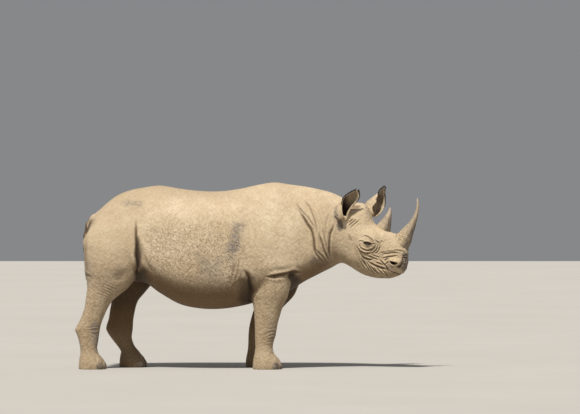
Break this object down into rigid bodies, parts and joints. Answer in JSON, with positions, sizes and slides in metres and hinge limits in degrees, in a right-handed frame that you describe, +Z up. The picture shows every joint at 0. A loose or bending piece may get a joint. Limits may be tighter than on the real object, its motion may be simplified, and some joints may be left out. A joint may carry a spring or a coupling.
{
  "type": "black rhinoceros",
  "caption": "Life-size standing model of a black rhinoceros in pale dust, its head turned to its right and held low, with a long curved front horn and a shorter one behind it",
  "frame": {"origin": "middle of the bounding box on the floor, under the trunk, level with the soles", "axes": "+X the way the trunk faces, +Y to the animal's left, +Z up"},
  "size_m": [2.8717, 0.8414, 1.5573],
  "materials": {
    "skin": "thick bare hide, matt, coated in pale tan dust",
    "horn": "worn keratin, granular at the base and smoother at the tip",
    "nail": "dry keratin, dusty and scuffed",
    "eye": "dark brown and wet, with a clear highlight",
    "hair": "coarse dull black hair"
  },
  "bodies": {
    "root": {"trunk": "skin", "neck": "skin", "head": "skin", "lower_jaw": "skin", "ear_right": "skin", "ear_left": "skin", "front_horn": "horn", "rear_horn": "horn", "eye_right": "eye", "eye_left": "eye", "hind_right_leg": "skin", "hind_right_foot": "skin", "hind_right_nail_1": "nail", "hind_right_nail_2": "nail", "hind_right_nail_3": "nail", "hind_left_leg": "skin", "hind_left_foot": "skin", "hind_left_nail_1": "nail", "hind_left_nail_2": "nail", "hind_left_nail_3": "nail", "fore_right_leg": "skin", "fore_right_foot": "skin", "fore_right_nail_1": "nail", "fore_right_nail_2": "nail", "fore_right_nail_3": "nail", "fore_left_leg": "skin", "fore_left_foot": "skin", "fore_left_nail_1": "nail", "fore_left_nail_2": "nail", "fore_left_nail_3": "nail", "tail": "skin", "tail_tuft": "hair"}
  },
  "joints": []
}
